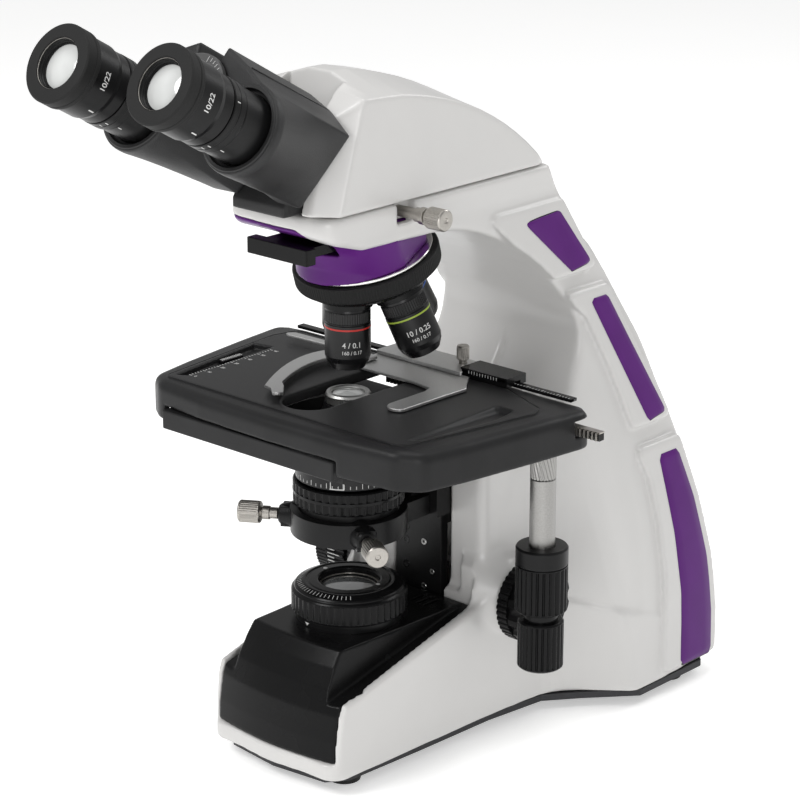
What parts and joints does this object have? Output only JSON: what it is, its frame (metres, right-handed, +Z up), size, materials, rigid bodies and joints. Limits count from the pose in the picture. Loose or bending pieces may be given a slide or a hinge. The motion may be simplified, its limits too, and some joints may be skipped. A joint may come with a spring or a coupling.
{
  "type": "compound microscope",
  "caption": "Upright biological microscope with inclined binocular head, revolving nosepiece, mechanical stage, condenser and built-in lamp",
  "frame": {"origin": "on the table, directly under the optical axis", "axes": "+Z up along the optical axis, the user sits on the -Y side, +X is the user's right with the stage drive"},
  "size_m": [0.239, 0.3799, 0.4069],
  "materials": {
    "white_enamel": "smooth off-white enamel",
    "purple_enamel": "satin purple enamel",
    "black_paint": "fine textured black paint",
    "black_gloss": "satin black anodised",
    "black_plastic": "moulded black plastic",
    "rubber": "soft black rubber",
    "steel": "satin nickel plated",
    "chrome": "polished",
    "aluminium": "machined",
    "brass": "machined",
    "glass": "coated optical glass",
    "grey_cap": "grey engraved disc",
    "plate": "bead blasted plate"
  },
  "bodies": {
    "root": {"stand_casting": "white_enamel", "base_plate": "black_paint", "rubber_feet": "rubber", "lamp_cover": "black_paint", "field_collar": "black_gloss", "lamp_lenses": "glass", "led_module": "aluminium", "power_inlet": "black_plastic", "purple_inlays": "purple_enamel", "nosepiece_housing": "purple_enamel", "nosepiece_ring": "chrome", "head_seat": "aluminium", "guide_block": "steel"},
    "field_diaphragm": {"field_diaphragm_ring": "black_gloss"},
    "power_rocker": {"power_switch": "black_plastic"},
    "brightness": {"brightness_dial": "black_plastic"},
    "filter": {"filter_slider": "black_plastic"},
    "turret": {"turret_body": "black_gloss", "turret_grip": "rubber", "objective_4x": "black_gloss", "objective_10x": "black_gloss", "objective_40x": "black_gloss", "objective_100x": "black_gloss"},
    "head": {"head_housing": "white_enamel", "binocular_body": "black_paint", "head_prism": "glass", "hinge_cap": "grey_cap"},
    "right_arm": {"right_tube_housing": "black_paint", "right_eye_tube": "black_gloss"},
    "left_arm": {"left_tube_housing": "black_paint", "left_eye_tube": "black_gloss"},
    "right_diopter": {"right_diopter_ring": "black_gloss"},
    "left_diopter": {"left_diopter_ring": "black_gloss"},
    "right_ocular": {"right_eyepiece": "black_gloss", "right_eye_lens": "glass"},
    "left_ocular": {"left_eyepiece": "black_gloss", "left_eye_lens": "glass"},
    "clamp_screw": {"head_clamp_screw": "steel"},
    "carriage": {"focus_carriage": "black_paint", "focus_rack": "brass", "stage_base": "black_paint"},
    "coarse": {"coarse_knobs": "black_plastic", "focus_pinion": "steel"},
    "fine": {"fine_knobs": "black_plastic"},
    "tension": {"tension_ring": "aluminium"},
    "stage": {"stage_top": "black_paint"},
    "slide_carrier": {"x_slider": "black_gloss", "slide_holder": "plate", "holder_screws": "steel"},
    "finger": {"holder_finger": "plate"},
    "y_drive": {"y_knob": "black_plastic", "y_shaft": "steel"},
    "x_drive": {"x_knob": "black_plastic"},
    "condenser": {"condenser_carrier": "black_paint", "condenser_body": "black_paint", "condenser_lens": "glass"},
    "condenser_height": {"condenser_knob": "black_plastic"},
    "iris": {"iris_ring": "black_gloss"},
    "right_centring": {"condenser_screw_right": "steel"},
    "left_centring": {"condenser_screw_left": "steel"}
  },
  "joints": [
    {"name": "field_diaphragm_turn", "type": "hinge", "parent": "root", "child": "field_diaphragm", "pos_m": [0, 0, 0.08], "axis": [0, 0, 1], "range_deg": [0, 90]},
    {"name": "power_rocker_tip", "type": "hinge", "parent": "root", "child": "power_rocker", "pos_m": [0.0485, 0.2035, 0.038], "axis": [1, 0, 0], "range_deg": [-7, 7]},
    {"name": "brightness_turn", "type": "hinge", "parent": "root", "child": "brightness", "pos_m": [-0.0505, -0.008, 0.03], "axis": [-1, 0, 0], "range_deg": [0, 270]},
    {"name": "filter_pull", "type": "slide", "parent": "root", "child": "filter", "axis": [0, -1, 0], "range_m": [0, 0.05]},
    {"name": "turret_turn", "type": "hinge", "parent": "root", "child": "turret", "pos_m": [0, 0, 0.31574], "axis": [0, -0.2756, 0.9613], "continuous": true},
    {"name": "head_turn", "type": "hinge", "parent": "root", "child": "head", "pos_m": [0, 0, 0.305], "axis": [0, 0, 1], "continuous": true},
    {"name": "right_arm_swing", "type": "hinge", "parent": "head", "child": "right_arm", "pos_m": [0, -0.15225, 0.40025], "axis": [0, -0.866, 0.5], "range_deg": [-22, 8]},
    {"name": "left_arm_swing", "type": "hinge", "parent": "head", "child": "left_arm", "pos_m": [0, -0.15225, 0.40025], "axis": [0, -0.866, 0.5], "range_deg": [-8, 22]},
    {"name": "right_diopter_turn", "type": "hinge", "parent": "right_arm", "child": "right_diopter", "pos_m": [0.035, -0.12722, 0.3716], "axis": [0, -0.866, 0.5], "range_deg": [-150, 150]},
    {"name": "right_eyepiece_lift", "type": "slide", "parent": "right_arm", "child": "right_ocular", "axis": [0, -0.866, 0.5], "range_m": [0, 0.024]},
    {"name": "left_diopter_turn", "type": "hinge", "parent": "left_arm", "child": "left_diopter", "pos_m": [-0.035, -0.12722, 0.3716], "axis": [0, -0.866, 0.5], "range_deg": [-150, 150]},
    {"name": "left_eyepiece_lift", "type": "slide", "parent": "left_arm", "child": "left_ocular", "axis": [0, -0.866, 0.5], "range_m": [0, 0.024]},
    {"name": "clamp_screw_turn", "type": "hinge", "parent": "root", "child": "clamp_screw", "pos_m": [0.051, 0.005, 0.2995], "axis": [1, 0, 0], "range_deg": [0, 720]},
    {"name": "focus_travel", "type": "slide", "parent": "root", "child": "carriage", "axis": [0, 0, 1], "range_m": [-0.018, 0.001]},
    {"name": "coarse_turn", "type": "hinge", "parent": "root", "child": "coarse", "pos_m": [0, 0.072, 0.077], "axis": [1, 0, 0], "range_deg": [-10, 172.5]},
    {"name": "fine_turn", "type": "hinge", "parent": "root", "child": "fine", "pos_m": [0, 0.072, 0.077], "axis": [1, 0, 0], "continuous": true},
    {"name": "tension_turn", "type": "hinge", "parent": "root", "child": "tension", "pos_m": [0, 0.072, 0.077], "axis": [1, 0, 0], "range_deg": [0, 120]},
    {"name": "stage_travel", "type": "slide", "parent": "carriage", "child": "stage", "axis": [0, 1, 0], "range_m": [-0.025, 0.025]},
    {"name": "slide_travel", "type": "slide", "parent": "stage", "child": "slide_carrier", "axis": [1, 0, 0], "range_m": [-0.03, 0.038]},
    {"name": "finger_open", "type": "hinge", "parent": "slide_carrier", "child": "finger", "pos_m": [-0.022, 0.036, 0.2025], "axis": [0, 0, 1], "range_deg": [-25, 0], "stiffness_Nm_per_rad": 0.02, "springref_deg": 8.02},
    {"name": "y_knob_turn", "type": "hinge", "parent": "stage", "child": "y_drive", "pos_m": [0.095, 0.045, 0.107], "axis": [0, 0, 1], "range_deg": [-222, 222]},
    {"name": "x_knob_turn", "type": "hinge", "parent": "stage", "child": "x_drive", "pos_m": [0.095, 0.045, 0.07], "axis": [0, 0, 1], "range_deg": [-420, 332]},
    {"name": "condenser_travel", "type": "slide", "parent": "carriage", "child": "condenser", "axis": [0, 0, -1], "range_m": [0, 0.009]},
    {"name": "condenser_knob_turn", "type": "hinge", "parent": "carriage", "child": "condenser_height", "pos_m": [0, 0.049, 0.14], "axis": [1, 0, 0], "range_deg": [0, 103.5]},
    {"name": "iris_turn", "type": "hinge", "parent": "condenser", "child": "iris", "pos_m": [0, 0, 0.145], "axis": [0, 0, 1], "range_deg": [-40, 40]},
    {"name": "right_centring_turn", "type": "hinge", "parent": "condenser", "child": "right_centring", "pos_m": [0.0424, -0.0265, 0.128], "axis": [0.848, -0.5299, 0], "range_deg": [0, 720]},
    {"name": "left_centring_turn", "type": "hinge", "parent": "condenser", "child": "left_centring", "pos_m": [-0.0424, -0.0265, 0.128], "axis": [-0.848, -0.5299, 0], "range_deg": [0, 720]}
  ],
  "couplings": [
    {"joint": "left_arm_swing", "follows": "right_arm_swing", "ratio": -1},
    {"joint": "coarse_turn", "follows": "focus_travel", "rad_per_m": -166.67},
    {"joint": "y_knob_turn", "follows": "stage_travel", "rad_per_m": 153.85},
    {"joint": "x_knob_turn", "follows": "slide_travel", "rad_per_m": -192.31},
    {"joint": "condenser_knob_turn", "follows": "condenser_travel", "rad_per_m": 200}
  ]
}
